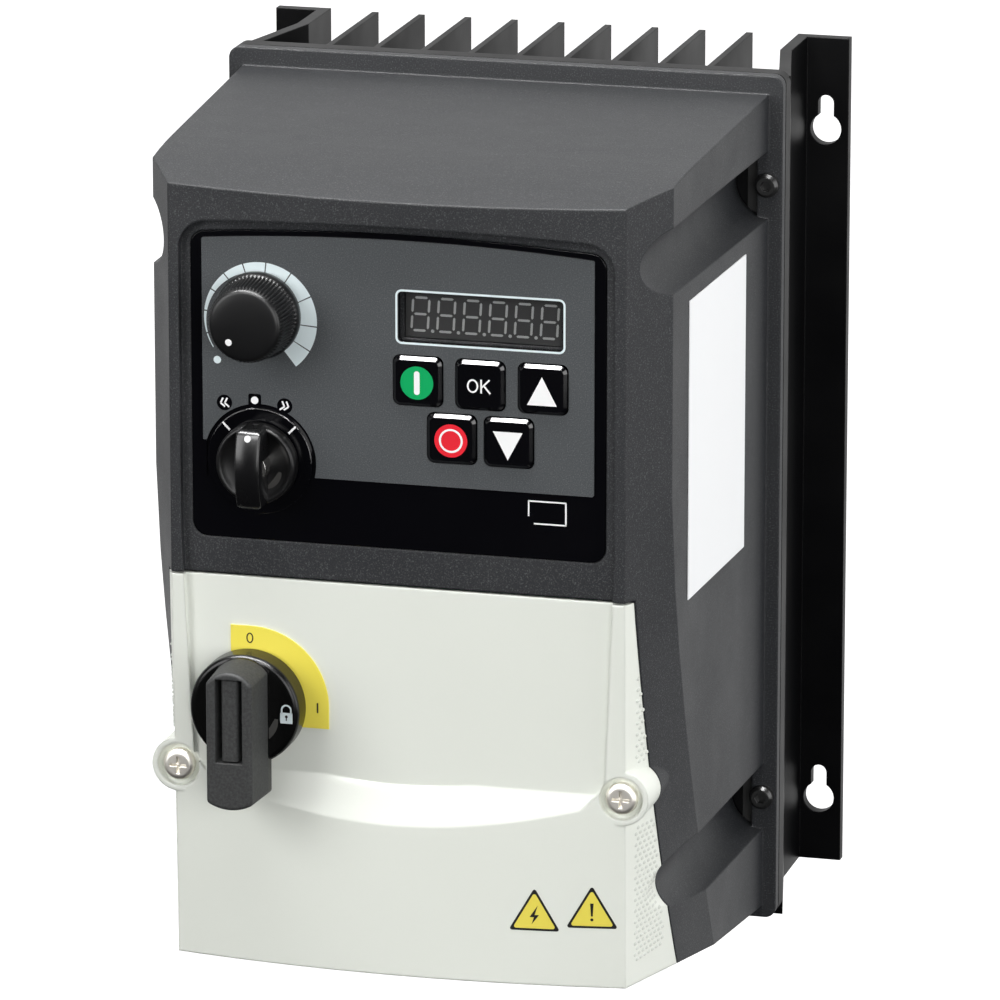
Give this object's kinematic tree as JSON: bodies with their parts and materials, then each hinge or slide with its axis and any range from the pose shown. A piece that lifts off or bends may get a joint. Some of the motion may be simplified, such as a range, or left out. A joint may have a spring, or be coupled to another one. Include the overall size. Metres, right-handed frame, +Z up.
{
  "type": "variable frequency drive",
  "caption": "Sealed wall-mounted motor drive with finned heatsink back, keypad and display, speed and direction knobs, and a lockable isolator on its removable terminal cover.",
  "frame": {"origin": "centre of the four wall keyholes, on the wall plane", "axes": "+Z up, the front faces -Y, +X to the right seen from the front; the wall is at Y = 0"},
  "size_m": [0.161, 0.1885, 0.2336],
  "materials": {
    "black_casting": "cast, satin black paint",
    "dark_plastic": "dark charcoal, spark-eroded texture",
    "light_plastic": "light warm grey, fine texture",
    "rubber_seal": "soft black",
    "rubber_plug": "soft black",
    "black_screw": "black oxide",
    "bright_screw": "stainless",
    "gloss_panel": "polished black",
    "grey_membrane": "fine speckled grey film",
    "smoked_window": "smoked clear plastic",
    "display_black": "dark display face",
    "key_grey": "fine matte",
    "key_red": "fine matte with red mark",
    "board_green": "solder mask",
    "switch_black": "moulded black",
    "bright_metal": "plated",
    "knob_black": "satin black",
    "yellow_plate": "satin yellow",
    "label_white": "blank paper label",
    "pad_grey": "heat transfer sheet",
    "module_grey": "moulded module",
    "brass_parts": "plated brass",
    "capacitor_sleeve": "shrink sleeve",
    "choke_core": "enamelled windings",
    "relay_blue": "moulded case",
    "transformer_yellow": "taped windings",
    "terminal_grey": "moulded terminal block",
    "terminal_green": "moulded terminal block"
  },
  "bodies": {
    "drive_base": {"heatsink": "black_casting", "housing": "dark_plastic", "housing_gasket": "rubber_seal", "housing_screws": "black_screw", "control_panel": "gloss_panel", "panel_overlay": "grey_membrane", "display_window": "smoked_window", "display_module": "display_black", "control_board": "board_green", "control_board_screws": "bright_screw", "tact_switches": "switch_black", "microcontroller": "switch_black", "potentiometer": "bright_metal", "pot_nut": "bright_metal", "selector_switch": "switch_black", "selector_bezel": "knob_black", "blanking_plug": "rubber_plug", "side_label": "label_white", "thermal_pad": "pad_grey", "power_module": "module_grey", "board_standoffs": "brass_parts", "power_board": "board_green", "power_board_screws": "bright_screw", "dc_capacitors": "capacitor_sleeve", "filter_choke": "choke_core", "inrush_relay": "relay_blue", "supply_transformer": "transformer_yellow", "power_terminals": "terminal_grey", "terminal_screws": "bright_screw", "control_terminals": "terminal_green", "data_port": "bright_metal", "earth_studs": "brass_parts"},
    "terminal_cover": {"terminal_cover": "light_plastic", "cover_gasket": "rubber_seal", "cover_screws": "bright_screw", "isolator_switch": "switch_black", "isolator_legend": "yellow_plate", "shaft_seal": "rubber_seal"},
    "isolator_handle": {"isolator_handle": "knob_black", "isolator_shaft": "bright_metal"},
    "lock_tongue": {"lock_tongue": "knob_black"},
    "speed_knob": {"speed_knob": "knob_black", "pot_shaft": "bright_metal"},
    "selector_knob": {"selector_knob": "knob_black", "selector_shaft": "bright_metal"},
    "button_start": {"button_start": "key_grey"},
    "button_enter": {"button_enter": "key_grey"},
    "button_up": {"button_up": "key_grey"},
    "button_stop": {"button_stop": "key_red"},
    "button_down": {"button_down": "key_grey"}
  },
  "joints": [
    {"name": "cover_off", "type": "slide", "parent": "drive_base", "child": "terminal_cover", "axis": [0, -1, 0], "range_m": [0, 0.06]},
    {"name": "isolator_turn", "type": "hinge", "parent": "terminal_cover", "child": "isolator_handle", "pos_m": [-0.0393, -0.17, -0.0288], "axis": [0, 1, 0], "range_deg": [0, 90]},
    {"name": "lock_tongue_pull", "type": "slide", "parent": "isolator_handle", "child": "lock_tongue", "axis": [0, -1, 0], "range_m": [0, 0.01]},
    {"name": "speed_turn", "type": "hinge", "parent": "drive_base", "child": "speed_knob", "pos_m": [-0.0366, -0.17, 0.0749], "axis": [0, 1, 0], "range_deg": [0, 280]},
    {"name": "selector_turn", "type": "hinge", "parent": "drive_base", "child": "selector_knob", "pos_m": [-0.0366, -0.17, 0.0362], "axis": [0, 1, 0], "range_deg": [-45, 45]},
    {"name": "button_start_press", "type": "slide", "parent": "drive_base", "child": "button_start", "axis": [0, 1, 0], "range_m": [0, 0.0008], "stiffness_N_per_m": 800},
    {"name": "button_enter_press", "type": "slide", "parent": "drive_base", "child": "button_enter", "axis": [0, 1, 0], "range_m": [0, 0.0008], "stiffness_N_per_m": 800},
    {"name": "button_up_press", "type": "slide", "parent": "drive_base", "child": "button_up", "axis": [0, 1, 0], "range_m": [0, 0.0008], "stiffness_N_per_m": 800},
    {"name": "button_stop_press", "type": "slide", "parent": "drive_base", "child": "button_stop", "axis": [0, 1, 0], "range_m": [0, 0.0008], "stiffness_N_per_m": 800},
    {"name": "button_down_press", "type": "slide", "parent": "drive_base", "child": "button_down", "axis": [0, 1, 0], "range_m": [0, 0.0008], "stiffness_N_per_m": 800}
  ]
}
